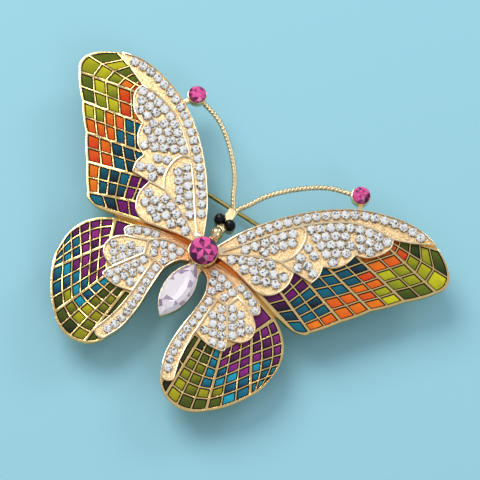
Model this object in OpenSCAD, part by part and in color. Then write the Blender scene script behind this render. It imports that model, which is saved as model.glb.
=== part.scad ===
// Butterfly brooch, lying face up: +X across the wings, +Y towards the head, +Z out of the face.
// Two lower wings, two upper wings soldered on top of them, pave panels on the wings,
// enamel in the open cells, set stones, a hanging marquise, wire antennae, and a hinged pin
// with a turning safety catch on the back.

/* [Overall] */
// Width over both upper wings
wing_span = 83.4; // [66:0.2:100]
// Height from the foot of the lower wings to the top edge of the upper wings
wing_height = 54; // [44:0.5:65]
// Thickness of each cast wing plate
plate_t = 1.2; // [1:0.1:1.6]
// Height of the upper wings' back above the lowest point of the pin fittings
back_h = 6.8; // [6.6:0.1:9]
// Half width of the spine that joins the wings
spine_half_w = 1.5; // [1.2:0.1:1.8]

/* [Enamel cells] */
// Width of the plain rim around the cells
rim_w = 0.45; // [0.4:0.05:0.8]
// Width of the thick veins
vein_w = 0.5; // [0.4:0.05:0.8]
// Width of the thin walls between cells
wire_w = 0.24; // [0.2:0.02:0.44]
// Depth of the cells
cell_depth = 0.8; // [0.5:0.05:0.9]
// Thickness of the enamel in them
enamel_t = 0.7; // [0.4:0.02:0.8]
// Gap between the enamel and a cell's walls
enamel_gap = 0.01; // [0.01:0.01:0.05]

/* [Pave panels] */
// Height of the panels above the wings
panel_t = 0.9; // [0.7:0.05:1.3]
// Width of the raised walls around each field of stones
panel_wall = 0.36; // [0.25:0.02:0.5]
// Depth of the bed below the top of the walls
bed_depth = 0.35; // [0.2:0.05:0.45]
// Diameter of the stones on the upper wings
stone_d = 1.8; // [1.4:0.05:2.2]
// Spacing of the stones on the upper wings
stone_pitch = 1.95; // [1.6:0.01:2.4]
// Diameter of the stones on the lower wings
small_stone_d = 1.6; // [1.2:0.05:2]
// Spacing of the stones on the lower wings
small_stone_pitch = 1.74; // [1.4:0.01:2.2]
// Depth of a stone's drilled seat
seat_depth = 0.3; // [0.2:0.05:0.4]
// Radial clearance of a stone in its seat
seat_clearance = 0.02; // [0.01:0.01:0.05]

/* [Centre and antennae] */
// Diameter of the round centre stone
centre_stone_d = 5.3; // [4:0.1:6]
// Length of the marquise stone
marquise_l = 12.2; // [9:0.1:14]
// Width of the marquise stone
marquise_w = 5.4; // [4:0.1:6.5]
// Diameter of the black eye stones
eye_d = 2.3; // [1.8:0.1:2.5]
// Diameter of the antenna stones
antenna_stone_d = 3.3; // [2.6:0.1:4]
// Diameter of the antenna wire
antenna_d = 1.1; // [0.8:0.05:1.3]
// Wall of the stone cups
cup_wall = 0.22; // [0.15:0.01:0.4]

/* [Pin and catch] */
// Diameter of the pin wire
pin_d = 0.9; // [0.7:0.05:1.1]
// Distance from the hinge rivet to the middle of the catch
pin_span = 29; // [24:0.5:36]
// Distance of the pin above the centre stone
pin_y = 12.7; // [11:0.1:14]
// Outer radius of the hinge cheeks and the catch ring
fitting_r = 2.1; // [1.9:0.05:2.3]
// Length of the catch ring
catch_l = 2.6; // [2:0.1:4]
// Thickness of the hinge cheeks
cheek_t = 0.7; // [0.5:0.05:1]
// Width of the pin's knuckle
knuckle_w = 1.5; // [1.2:0.1:2]
// Diameter of the hinge rivet
rivet_d = 0.9; // [0.7:0.05:1.1]
// Radial clearance of turning pieces
run_clearance = 0.05; // [0.03:0.01:0.08]

/* [Hidden] */
SIDES = ["left", "right"];
UPPER_COLOURS = ["green", "yellow", "orange", "teal", "purple"];
LOWER_COLOURS = ["green", "yellow", "blue", "purple"];

EPS = 0.02;
GOLD = "khaki";
SEGMENTS = 5;
ENAMEL = [["green", "darkgreen", "G"], ["yellow", "gold", "Y"], ["orange", "darkorange", "O"],
    ["teal", "teal", "T"], ["blue", "deepskyblue", "B"], ["purple", "purple", "P"]];

// Heights of the layers
upper_z = back_h;
lower_z = back_h - plate_t;
upper_top = back_h + plate_t;
lower_top = back_h;
pin_z = fitting_r;
pin_r = pin_d / 2;

// The outlines are drawn for this half span and height, then fitted to the wanted ones.
// The spine keeps its own width.
DRAWN_HALF = 41.7;
DRAWN_HEIGHT = 54;
stretch_x = (wing_span / 2 - spine_half_w) / (DRAWN_HALF - 1.5);
stretch_y = wing_height / DRAWN_HEIGHT;
function fitted(p) = [spine_half_w + (p[0] - 1.5) * stretch_x, p[1] * stretch_y];
function fit_all(points) = [for (p = points) fitted(p)];

// Points and curves
function mix(a, b, t) = a + (b - a) * t;
function unit(v) = v / norm(v);
function side_of(v) = [v[1], -v[0]];
function dot(a, b) = a[0] * b[0] + a[1] * b[1];
function reversed(list) = [for (i = [len(list) - 1 : -1 : 0]) list[i]];
function tail(list) = [for (i = [1 : len(list) - 1]) list[i]];
function spline_point(a, b, c, d, t) =
    0.5 * (2 * b + (c - a) * t + (2 * a - 5 * b + 4 * c - d) * t * t + (3 * b - a - 3 * c + d) * t * t * t);
function curve(p, n = SEGMENTS) = concat(
    [for (i = [0 : len(p) - 2]) for (k = [0 : n - 1])
        spline_point(p[max(i - 1, 0)], p[i], p[i + 1], p[min(i + 2, len(p) - 1)], k / n)],
    [p[len(p) - 1]]);

// Point at a distance along a curve, moved sideways (positive is to the right of the way along it)
function lengths(c, i = 0, sum = 0) =
    i >= len(c) - 1 ? [sum] : concat([sum], lengths(c, i + 1, sum + norm(c[i + 1] - c[i])));
function piece_at(sums, s, i = 0) = i >= len(sums) - 2 || sums[i + 1] > s ? i : piece_at(sums, s, i + 1);
function beside(c, sums, s, d) =
    let (i = piece_at(sums, s), way = unit(c[i + 1] - c[i]))
    c[i] + way * (s - sums[i]) + side_of(way) * d;

// Is a point inside a polygon, and how far is it from its edges
function crossings(poly, p) = len([for (i = [0 : len(poly) - 1])
    let (a = poly[i], b = poly[(i + 1) % len(poly)])
    if ((a[1] > p[1]) != (b[1] > p[1]) && p[0] < a[0] + (p[1] - a[1]) / (b[1] - a[1]) * (b[0] - a[0])) 1]);
function edge_distance(a, b, p) =
    let (w = b - a, t = dot(w, w) == 0 ? 0 : min(1, max(0, dot(p - a, w) / dot(w, w))))
    norm(p - a - w * t);
function clear_of(poly, p) = min([for (i = [0 : len(poly) - 1])
    edge_distance(poly[i], poly[(i + 1) % len(poly)], p)]);
function fits(poly, p, d) = crossings(poly, p) % 2 == 1 && clear_of(poly, p) >= d;

// Places for stones in a field, in rows beside a base curve. Along each row, a stone goes in
// at the first of many small steps that is far enough from the stones already there.
ROW_SPACING = 0.9;
LEAST_GAP = 0.3;
STEPS = 15;
function stones(field, base, first, row0, rows, pitch, d, side) =
    let (sums = lengths(base), total = sums[len(sums) - 1], room = d / 2 + seat_clearance + panel_wall / 2)
    spaced([for (r = [0 : rows - 1]) for (s = [first : pitch / STEPS : total + 2 * pitch])
        let (p = beside(base, sums, s, side * (row0 + r * pitch * ROW_SPACING)))
        if (fits(field, p, room)) p], mix(d, pitch, LEAST_GAP));
function spaced(places, least, i = 0, kept = []) =
    i >= len(places) ? kept :
    spaced(places, least, i + 1,
        len([for (k = kept) if (norm(k - places[i]) < least) 1]) > 0 ? kept : concat(kept, [places[i]]));

// Upper wing: leading edge from the spine to the tip of its stone strip
lead = curve(fit_all([[1.5, 2.4], [4.2, 8], [8.9, 14.5], [14.7, 20.3], [20.8, 24.4], [27.5, 26.7],
    [32.5, 27.1], [36.3, 26.2]]));
// Trailing edge that the wing and its panel share
under = curve(fit_all([[12.4, -1], [9, -0.2], [5.5, 0.5], [1.5, 0.8]]));
// Lines on the panel: below the strip, around the scallops and petals
strip_a = curve(fit_all([[3, 2.3], [6.3, 6.7], [9.4, 11], [12.6, 14.9]]));
strip_b = curve(fit_all([[12.6, 14.9], [16, 18], [20.3, 20.9], [25, 22.3], [29, 22.5]]));
strip_end = curve(fit_all([[29, 22.5], [32.6, 24], [36.3, 26.2]]));
scallop_1 = curve(fit_all([[29, 22.5], [29.4, 20.7], [28.5, 18.5], [26.6, 16.5], [24.5, 15.7]]));
scallop_2 = curve(fit_all([[24.5, 15.7], [24, 13.5], [22.7, 11.5], [20.5, 10.2]]));
scallop_3 = curve(fit_all([[20.5, 10.2], [20.9, 8.3], [20.4, 6.2]]));
scallop_back = fit_all([[20.4, 6.2], [16.5, 6.3], [13.2, 6.6]]);
petal_2 = curve(fit_all([[13.2, 6.6], [14.7, 8.9], [15, 12], [14.2, 14.3], [12.6, 14.9]]));
petal_line = curve(fit_all([[3, 1.5], [5.6, 3.2], [9.3, 5.1], [13.2, 6.6]]));
petal_3 = curve(fit_all([[16.5, 6.3], [16.9, 3.4], [15.9, 0.6], [14.3, -0.7], [12.4, -1]]));

strip_field = concat(reversed(lead), tail(strip_a), tail(strip_b), tail(strip_end));
lobe_field = concat(strip_b, tail(scallop_1), tail(scallop_2), tail(scallop_3), tail(scallop_back),
    tail(petal_2));
petal_2_field = concat(strip_a, tail(reversed(petal_2)), tail(reversed(petal_line)));
petal_3_field = concat(petal_line, [scallop_back[1]], tail(petal_3), tail(under));
upper_panel = concat(lead, tail(reversed(strip_end)), tail(scallop_1), tail(scallop_2), tail(scallop_3),
    [scallop_back[1]], tail(petal_3), tail(under));

// A patch of cells lies between two veins. Each vein runs from the rim to under the panel.
// [rim 0, root 0, rim 1, root 1, bulge of side 1, bulge of the rim, half wall 0, half wall 1, colours by row]
VEINS = fit_all([[37.2, 26], [41.2, 18.2], [37, 13.3], [32.6, 8.2], [29, 3.2], [25.2, -1.9], [22.4, -3.4]]);
VEIN_ROOTS = fit_all([[28.3, 23.3], [28, 21.1], [24.2, 16], [20.7, 11], [16.4, 7.2], [15.6, 2],
    [13.4, -1.1]]);
RIM_BULGES = [2.7, 0.25, 0.2, 0.15, 0.15, 0.7];
UPPER_CELLS = [["GYGGO", "YYYOO"], ["GYYOO", "GYYOO"], ["YYOOTT", "OOOTTT"], ["OOTTT", "OOTTT"],
    ["OTTTPP", "OTTTPP"], ["TTPP"]];
upper_patches = [for (i = [0 : 5]) [VEINS[i], VEIN_ROOTS[i], VEINS[i + 1], VEIN_ROOTS[i + 1], 0,
    RIM_BULGES[i] * stretch_x, vein_w / 2, i == 5 ? rim_w : vein_w / 2, UPPER_CELLS[i]]];

// Lower wing: inner edge from the spine to its foot, and the top edge under the upper wing
inner = curve(fit_all([[1.5, -2.6], [3.3, -3.7], [4.6, -6.4], [4.7, -10.4], [4.4, -14.4], [4.5, -18],
    [5, -21], [6.4, -24.2]]));
foot = curve(fit_all([[6.4, -24.2], [7.3, -25.4]]));
top_edge = curve(fit_all([[18.3, -3], [14.5, -0.2], [10, 1], [1.5, 1.9]]));
low_strip_line = curve(fit_all([[7.1, -6], [7.1, -9.8], [7.1, -13.5], [7.4, -17.5], [8, -20.6],
    [8.9, -23.4]]));
low_strip_foot = curve(fit_all([[8.9, -23.4], [7.9, -24.4], [6.4, -24.2]]));
lobe_1 = curve(fit_all([[7.1, -13.5], [10.2, -14.4], [13.4, -14], [13.6, -12.9], [12.9, -11.5]]));
lobe_2 = curve(fit_all([[12.9, -11.5], [15.3, -10.8], [16.6, -8.8], [16.1, -6.6], [14.4, -5]]));
lobe_3 = curve(fit_all([[14.4, -5], [15.3, -4.1], [14.8, -2.9], [12.8, -1.6], [9.4, -0.5], [5.4, -0.2],
    [2.6, -0.3]]));
lobe_line = fit_all([[12.9, -11.5], [9.4, -6.1]]);
petal_low = curve(fit_all([[2.6, -0.9], [6.4, -1.2], [8.6, -2], [10.2, -3.4]]));
petal_end = fit_all([[10.2, -3.4], [9.4, -6.1], [7.1, -6]]);
lobe_gap = fit_all([[14.4, -5], [10.2, -3.4]]);

low_strip_field = concat([for (i = [2 * SEGMENTS : len(inner) - 1]) inner[i]],
    tail(reversed(low_strip_foot)), tail(reversed(low_strip_line)));
low_petal_field = concat([for (i = [0 : 2 * SEGMENTS]) inner[i]], reversed(petal_end),
    tail(reversed(petal_low)));
low_lobe_1_field = concat(tail(petal_end), tail([for (i = [0 : 2 * SEGMENTS]) low_strip_line[i]]),
    tail(lobe_1), [lobe_line[1]]);
low_lobe_2_field = concat(reversed(lobe_line), tail(lobe_2), tail(lobe_gap));
low_lobe_3_field = concat(petal_low, tail(reversed(lobe_gap)), tail(lobe_3));
lower_panel = concat(inner, tail(reversed(low_strip_foot)),
    tail(reversed([for (i = [2 * SEGMENTS : len(low_strip_line) - 1]) low_strip_line[i]])),
    tail(lobe_1), tail(lobe_2), tail(lobe_3), [fitted([1.5, -0.3])]);

LOW_RIMS = fit_all([[7.3, -25.4], [9.1, -26.7], [17, -24.9], [22.3, -18.1], [23.3, -15]]);
LOW_ROOTS = fit_all([[7.2, -13.9], [8.5, -14], [13.2, -13.7], [16.2, -8]]);
low_top = fitted([18.3, -3]);
lower_patches = [
    [LOW_RIMS[0], LOW_ROOTS[0], LOW_RIMS[1], LOW_ROOTS[1], 0, 0.1 * stretch_y, wire_w / 2, vein_w / 2,
        ["GG"]],
    [LOW_RIMS[1], LOW_ROOTS[1], LOW_RIMS[2], LOW_ROOTS[2], 0, 1.3 * stretch_y, vein_w / 2, vein_w / 2,
        ["YYYYYG", "GYYYGG", "GYBBBB"]],
    [LOW_RIMS[2], LOW_ROOTS[2], LOW_RIMS[3], LOW_ROOTS[3], 0, 0.5 * stretch_y, vein_w / 2, vein_w / 2,
        ["GYBBPP", "BBBPPP", "BBPPPP"]],
    [LOW_RIMS[3], LOW_ROOTS[3], LOW_RIMS[4], low_top, 2.6 * stretch_x, 0, vein_w / 2, rim_w,
        ["BBBPPP", "BBBPPP", "BBPPPP"]],
    [LOW_ROOTS[3], fitted([13.5, -6.6]), low_top, fitted([14, -1.7]), 0, 0, wire_w / 2, rim_w, ["P"]]];

// A point of a patch: u runs from the rim to the root, v from side 0 to side 1
function bow(u) = 4 * u * (1 - u);
function patch_point(q, u, v) =
    let (side = side_of(unit(q[2] - q[3])),
        out = dot(side, q[2] + q[3] - q[0] - q[1]) > 0 ? side : -side,
        a = mix(q[0], q[1], u),
        b = mix(q[2], q[3], u) + out * q[4] * bow(u),
        rimward = unit(q[0] + q[2] - q[1] - q[3]))
    mix(a, b, v) + rimward * q[5] * bow(v) * (1 - u) * (1 - u);
function patch_length(q) = norm(patch_point(q, 1, 0.5) - patch_point(q, 0, 0.5));
function patch_width(q, u) = norm(patch_point(q, u, 1) - patch_point(q, u, 0));
function wall_v(q, row, u, gap, upper_side) =
    let (rows = len(q[8]), edge = upper_side ? row + 1 : row,
        half = (edge == 0 ? q[6] : edge == rows ? q[7] : wire_w / 2) + gap)
    edge / rows + (upper_side ? -1 : 1) * half / patch_width(q, u);
function cell(q, row, col, gap) =
    let (long = patch_length(q), rim = rim_w / long, step = (1 - rim) / len(q[8][row]),
        u0 = rim + col * step + (col == 0 ? gap : wire_w / 2 + gap) / long,
        u1 = rim + (col + 1) * step - (wire_w / 2 + gap) / long,
        a0 = wall_v(q, row, u0, gap, false), a1 = wall_v(q, row, u1, gap, false),
        b0 = wall_v(q, row, u0, gap, true), b1 = wall_v(q, row, u1, gap, true))
    (b0 - a0) * patch_width(q, u0) < wire_w || (b1 - a1) * patch_width(q, u1) < wire_w ? [] :
    concat(cell_side(q, u0, a0, u1, a1), cell_side(q, u1, b1, u0, b0),
        [for (t = [1 / 4, 1 / 2, 3 / 4]) if (q[5] > 0 && col == 0) patch_point(q, u0, mix(b0, a0, t))]);
// One long side of a cell, with extra points where the side bulges
function cell_side(q, u0, v0, u1, v1) = concat([patch_point(q, u0, v0)],
    [for (t = [1 / 3, 2 / 3]) if (q[4] > 0) patch_point(q, mix(u0, u1, t), mix(v0, v1, t))],
    [patch_point(q, u1, v1)]);
function rim_points(q) = [for (k = [1 : 8]) patch_point(q, 0, k / 8)];
function side_points(q) = [for (k = [1 : 12]) patch_point(q, k / 12, 1)];

upper_outline = concat(lead, [VEINS[0]], [for (q = upper_patches) each rim_points(q)],
    tail(curve(fit_all([[22.4, -3.4], [20.6, -3.2], [17, -2.35], [12.4, -1]]))), tail(under));
lower_outline = concat(inner, tail(foot), [for (i = [0 : 2]) each rim_points(lower_patches[i])],
    fit_all([[23, -16.8], [23.5, -15.2]]), side_points(lower_patches[3]), tail(top_edge));

// Stone places
strip_places = stones(strip_field, lead, 2, 1.2, 1, stone_pitch, stone_d, 1);
lobe_places = stones(lobe_field, strip_b, -5.4, 1.11, 9, stone_pitch, stone_d, 1);
petal_places = concat(
    stones(petal_2_field, strip_a, 1.9, 1.11, 5, stone_pitch, stone_d, 1),
    stones(petal_3_field, petal_line, 2, 1.11, 5, stone_pitch, stone_d, 1));
low_strip_places = stones(low_strip_field, inner, 1.1, 1.2, 1, small_stone_pitch, small_stone_d, -1);
low_lobe_places = concat(
    stones(low_petal_field, petal_low, 1.4, 1.01, 4, small_stone_pitch, small_stone_d, 1),
    stones(low_lobe_1_field, lobe_line, -2.5, 1.1, 6, small_stone_pitch, small_stone_d, -1),
    stones(low_lobe_2_field, lobe_line, 0.5, 1.01, 5, small_stone_pitch, small_stone_d, 1),
    stones(low_lobe_3_field, lobe_3, -3.7, 1.01, 2, small_stone_pitch, small_stone_d, -1));

// Spine
head_y = 7.6 * stretch_y;
eye_x = eye_d / 2 + EPS;
spine_low = -2.6 * stretch_y;
joint_top = 2.4 * stretch_y;
head_bar_w = 1.7;
tongue_l = 1.8;
neck_w = 1.8;
neck_t = 0.8;

// Antennae
antenna_foot = [antenna_d / 2 + EPS, 10.9 * stretch_y];
antenna_stone = fitted([19, 26.9]);
antenna_cup_r = antenna_stone_d / 2 + cup_wall;
antenna_z = upper_z + 0.5;
antenna_path = concat([antenna_foot], curve([antenna_foot + [0, 0.6], fitted([1.7, 13.3]),
    fitted([3.5, 16.6]), fitted([6.3, 20]), fitted([9.7, 23.1]), fitted([13.1, 25.3]),
    antenna_stone - [antenna_cup_r + EPS, 0.35]], 4));

// Fittings on the back
knuckle_r = 1.35;
hinge_x = pin_span / 2;
catch_x = -pin_span / 2;
foot_t = 0.6;
foot_l = 5;
foot_w = 4.2;
post_w = 1.8;
rivet_head_t = 0.3;
flange_r = fitting_r - 0.2;
tab_w = 1.2;
cheek_gap = 0.08;
pin_over = 2.2;
point_l = 4.5;
catch_bore = 1.45;
sleeve_r = catch_bore - run_clearance;
sleeve_bore = pin_r + 0.2;
flange_t = 0.5;
tab_reach = 3.3;

// The origin is under the middle of the whole brooch, at the lowest point of the hinge
centre_y = (antenna_stone[1] + antenna_cup_r + min([for (p = lower_outline) p[1]])) / 2;
module placed() {
    translate([0, -centre_y, 0]) children();
}

module sided(side) {
    if (side == "left") mirror([1, 0, 0]) children();
    else children();
}

module flat_piece(z, h) {
    translate([0, 0, z]) linear_extrude(h) children();
}

// Cast wing plate with a pocket for each enamel cell
module wing_plate(outline, patches, z) {
    difference() {
        flat_piece(z, plate_t) polygon(outline);
        cells(patches, "", z + plate_t - cell_depth, cell_depth + 1, 0);
    }
}

// Prisms of the cells of one colour, or of all colours for an empty letter
module cells(patches, letter, z, h, gap) {
    for (q = patches) for (row = [0 : len(q[8]) - 1]) for (col = [0 : len(q[8][row]) - 1]) {
        points = cell(q, row, col, gap);
        if (len(points) > 0 && (letter == "" || letter == q[8][row][col]))
            flat_piece(z, h) polygon(points);
    }
}

module upper_wing(side) color(GOLD) sided(side) wing_plate(upper_outline, upper_patches, upper_z);

module lower_wing(side) color(GOLD) sided(side) wing_plate(lower_outline, lower_patches, lower_z);

module enamel(patches, colour, side, z) {
    spec = [for (e = ENAMEL) if (e[0] == colour) e][0];
    color(spec[1]) sided(side) cells(patches, spec[2], z + plate_t - cell_depth, enamel_t, enamel_gap);
}

// Panel with a sunk bed in each field and a drilled seat for each stone
module pave_panel(outline, fields, places, z, d) {
    bed = z + panel_t - bed_depth;
    difference() {
        flat_piece(z, panel_t) difference() {
            polygon(outline);
            circle(r = centre_cup_r + seat_clearance, $fn = 64);
        }
        for (f = fields) flat_piece(bed, bed_depth + 1) offset(delta = -panel_wall / 2) polygon(f);
        for (p = places) translate([p[0], p[1], bed - seat_depth])
            cylinder(h = seat_depth + 1, r = d / 2 + seat_clearance, $fn = 32);
    }
}

module upper_pave_panel(side) color(GOLD) sided(side)
    pave_panel(upper_panel, [strip_field, lobe_field, petal_2_field, petal_3_field],
        concat(strip_places, lobe_places, petal_places), upper_top, stone_d);

module lower_pave_panel(side) color(GOLD) sided(side)
    pave_panel(lower_panel,
        [low_strip_field, low_petal_field, low_lobe_1_field, low_lobe_2_field, low_lobe_3_field],
        concat(low_strip_places, low_lobe_places), lower_top, small_stone_d);

// Round stone standing on its flat back: girdle band, crown and table
module round_stone(d, h) {
    rotate_extrude($fn = 32) polygon([[0, 0], [d * 0.44, 0], [d / 2, h * 0.3], [d / 2, h * 0.45],
        [d * 0.29, h], [0, h]]);
}

module set_stones(places, side, z, d) {
    color("white") sided(side) for (p = places)
        translate([p[0], p[1], z + panel_t - bed_depth - seat_depth]) round_stone(d, d * 0.52);
}

// Spine: the bar under the head, thorax and centre that the four wings are soldered to
module spine() {
    color("darkgoldenrod") {
        flat_piece(lower_z, upper_top - lower_z) union() {
            translate([-spine_half_w, spine_low]) square([2 * spine_half_w, joint_top - spine_low]);
            translate([-head_bar_w / 2, spine_low]) square([head_bar_w, head_y - spine_low]);
            for (s = [-1, 1]) translate([s * eye_x, head_y]) circle(r = eye_d / 2 - cup_wall / 2, $fn = 48);
        }
        flat_piece(lower_z, plate_t) translate([-spine_half_w, spine_low - tongue_l])
            square([2 * spine_half_w, tongue_l + EPS]);
        flat_piece(antenna_z - neck_t / 2, neck_t) translate([-neck_w / 2, head_y])
            square([neck_w, antenna_foot[1] - head_y]);
    }
}

// Polished drop between the head and the centre stone, flat below
module thorax_drop() {
    r = 1.18;
    tip_r = 0.3;
    drop_y = 5.9 * stretch_y;
    drop_l = drop_y - centre_cup_r - EPS;
    y = drop_y - r;
    color(GOLD) intersection() {
        translate([0, y, upper_top + r * 0.6]) rotate([90, 0, 0]) rotate_extrude($fn = 48)
            polygon(concat([[0, -r]], [for (a = [-80 : 10 : 20]) [r * cos(a), r * sin(a)]],
                [[tip_r, drop_l - r], [0, drop_l - r]]));
        translate([-3, -10, upper_top]) cube([6, 30, 5]);
    }
}

module eye_stones() color("black") for (s = [-1, 1])
    translate([s * eye_x, head_y, upper_top]) round_stone(eye_d, 1.5);

// Round cup with a seat, and the stone that drops into it
centre_cup_r = centre_stone_d / 2 + cup_wall;
centre_cup_h = 1.5;
antenna_cup_h = 1.7;
cup_seat = 0.9;
foot_h = 0.9;

module round_cup(r, h, seat) {
    difference() {
        cylinder(h = h, r = r, $fn = 64);
        translate([0, 0, h - seat]) cylinder(h = seat + 1, r = r - cup_wall + seat_clearance, $fn = 64);
    }
}

module centre_cup() color(GOLD) translate([0, 0, upper_top])
    round_cup(centre_cup_r, centre_cup_h, cup_seat);

module centre_stone() color("deeppink") translate([0, 0, upper_top + centre_cup_h - cup_seat])
    round_stone(centre_stone_d, 2.5);

// Marquise outline: two arcs that meet in points
marquise_tuck = 0.37;
marquise_y = marquise_tuck - centre_cup_r - marquise_l / 2;
marquise_floor = 0.6;
marquise_wall_h = 1.6;
marquise_wall = cup_wall * 0.6;
module marquise(grow) {
    half_l = marquise_l / 2 + grow * 1.6;
    half_w = marquise_w / 2 + grow;
    arc_r = (half_l * half_l + half_w * half_w) / (2 * half_w);
    translate([0, marquise_y]) intersection_for(s = [-1, 1])
        translate([s * (arc_r - half_w), 0]) circle(r = arc_r, $fn = 128);
}

// What the marquise and its cup leave free for the centre cup and the spine
module centre_room() {
    translate([0, 0, upper_top]) cylinder(h = 5, r = centre_cup_r + seat_clearance, $fn = 64);
    translate([-spine_half_w - EPS, spine_low - EPS, lower_top - 1])
        cube([2 * spine_half_w + 2 * EPS, 6, 6]);
}

module marquise_cup() color(GOLD) difference() {
    flat_piece(lower_top, marquise_wall_h) marquise(marquise_wall);
    flat_piece(lower_top + marquise_floor, marquise_wall_h) marquise(seat_clearance);
    centre_room();
}

// Marquise stone in three steps: girdle, crown and table, each [height, inset]
MARQUISE_STEPS = [[0, 0], [1.2, -0.5], [1.7, -1.1], [2.2, 0]];
module marquise_stone() color("lavender") difference() {
    for (i = [0 : 2]) flat_piece(lower_top + marquise_floor + MARQUISE_STEPS[i][0],
        MARQUISE_STEPS[i + 1][0] - MARQUISE_STEPS[i][0]) marquise(MARQUISE_STEPS[i][1]);
    centre_room();
}

// Wire swept along a path: a ring of corners at each point
module swept_wire(path, z, d, corners = 12) {
    n = len(path);
    ways = [for (i = [0 : n - 1]) unit(path[min(i + 1, n - 1)] - path[max(i - 1, 0)])];
    points = [for (i = [0 : n - 1]) for (k = [0 : corners - 1])
        let (a = 360 * k / corners, out = side_of(ways[i]) * cos(a) * d / 2)
        [path[i][0] + out[0], path[i][1] + out[1], z + sin(a) * d / 2]];
    sides = [for (i = [0 : n - 2]) for (k = [0 : corners - 1])
        let (m = (k + 1) % corners)
        [i * corners + k, i * corners + m, (i + 1) * corners + m, (i + 1) * corners + k]];
    polyhedron(points, concat(sides, [[for (k = [corners - 1 : -1 : 0]) k]],
        [[for (k = [0 : corners - 1]) (n - 1) * corners + k]]));
}

module antenna(side) color(GOLD) sided(side) swept_wire(antenna_path, antenna_z, antenna_d);

// Cup on a short foot that is soldered to the wing's leading edge
module antenna_cup(side) color(GOLD) sided(side) {
    translate([antenna_stone[0], antenna_stone[1], upper_z])
        round_cup(antenna_cup_r, antenna_cup_h, cup_seat);
    flat_piece(upper_z, foot_h) difference() {
        translate(antenna_stone) rotate(-60) translate([antenna_cup_r - cup_wall / 2, -foot_h / 2])
            square([4 * foot_h, foot_h]);
        polygon(upper_outline);
    }
}

module antenna_stone(side) color("deeppink") sided(side)
    translate([antenna_stone[0], antenna_stone[1], upper_z + antenna_cup_h - cup_seat])
        round_stone(antenna_stone_d, 1.9);

module across(h, r) {
    rotate([90, 0, 0]) cylinder(h = h, r = r, center = true, $fn = 48);
}

module along(h, r) {
    rotate([0, 90, 0]) cylinder(h = h, r = r, center = true, $fn = 48);
}

// Hinge: a foot soldered to the wing, two cheeks, and a stop above the pin
module hinge_base() {
    inside = knuckle_w / 2 + cheek_gap;
    cheek_h = back_h - pin_z - foot_t / 2;
    stop_z = pin_r + cheek_gap;
    color(GOLD) translate([hinge_x, pin_y, 0]) difference() {
        union() {
            translate([-foot_l / 2, -foot_w / 2, back_h - foot_t]) cube([foot_l, foot_w, foot_t]);
            for (s = [-1, 1]) translate([0, s * (inside + cheek_t / 2), pin_z]) {
                across(cheek_t, fitting_r);
                translate([-fitting_r, -cheek_t / 2, 0]) cube([2 * fitting_r, cheek_t, cheek_h]);
            }
            translate([-fitting_r, -inside - EPS, pin_z + stop_z])
                cube([fitting_r - knuckle_r - cheek_gap, 2 * inside + 2 * EPS, cheek_h - stop_z]);
        }
        translate([0, 0, pin_z]) across(2 * foot_l, rivet_d / 2);
    }
}

// Rivet through both cheeks, with a flat head on each side
module hinge_rivet() {
    outside = knuckle_w / 2 + cheek_gap + cheek_t + EPS;
    color(GOLD) translate([hinge_x, pin_y, pin_z]) {
        across(2 * outside + rivet_head_t, rivet_d / 2 - EPS / 2);
        for (s = [-1, 1]) translate([0, s * (outside + rivet_head_t / 2), 0])
            across(rivet_head_t, rivet_d * 0.8);
    }
}

// Pin: a knuckle on the rivet and a straight sharpened wire that reaches past the catch
module pin_stem() {
    wire_l = pin_span + catch_l / 2 + pin_over - point_l;
    color(GOLD) translate([hinge_x, pin_y, pin_z]) {
        difference() {
            union() {
                across(knuckle_w, knuckle_r);
                rotate([0, -90, 0]) cylinder(h = wire_l, r = pin_r, $fn = 32);
            }
            across(knuckle_w + 1, rivet_d / 2 + run_clearance);
        }
        translate([-wire_l, 0, 0]) rotate([0, -90, 0]) cylinder(h = point_l, r1 = pin_r, r2 = 0.08, $fn = 32);
    }
}

// Catch: a split ring on a post; the split lets the pin out downwards
module catch_ring() {
    color(GOLD) translate([catch_x, pin_y, 0]) difference() {
        union() {
            translate([-foot_l / 2, -foot_w / 2, back_h - foot_t]) cube([foot_l, foot_w, foot_t]);
            translate([-catch_l / 2, -post_w / 2, pin_z])
                cube([catch_l, post_w, back_h - pin_z - foot_t / 2]);
            translate([0, 0, pin_z]) along(catch_l, fitting_r);
        }
        translate([0, 0, pin_z]) along(2 * catch_l, catch_bore);
        translate([-catch_l, -sleeve_bore, -1]) cube([2 * catch_l, 2 * sleeve_bore, pin_z + 1]);
    }
}

// Turning sleeve in the ring, split like the ring, with a finger tab on its outer flange
module catch_sleeve() {
    flange_x = catch_l / 2 + run_clearance + flange_t / 2;
    color(GOLD) translate([catch_x, pin_y, pin_z]) difference() {
        union() {
            along(2 * flange_x, sleeve_r);
            for (s = [-1, 1]) translate([s * flange_x, 0, 0]) along(flange_t, flange_r);
            translate([-flange_x - flange_t / 2, flange_r - tab_w, -tab_w / 2])
                cube([flange_t, tab_reach + tab_w - flange_r, tab_w]);
        }
        along(2 * catch_l, sleeve_bore);
        translate([-catch_l, -sleeve_bore, -fitting_r]) cube([2 * catch_l, 2 * sleeve_bore, fitting_r]);
    }
}

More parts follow.
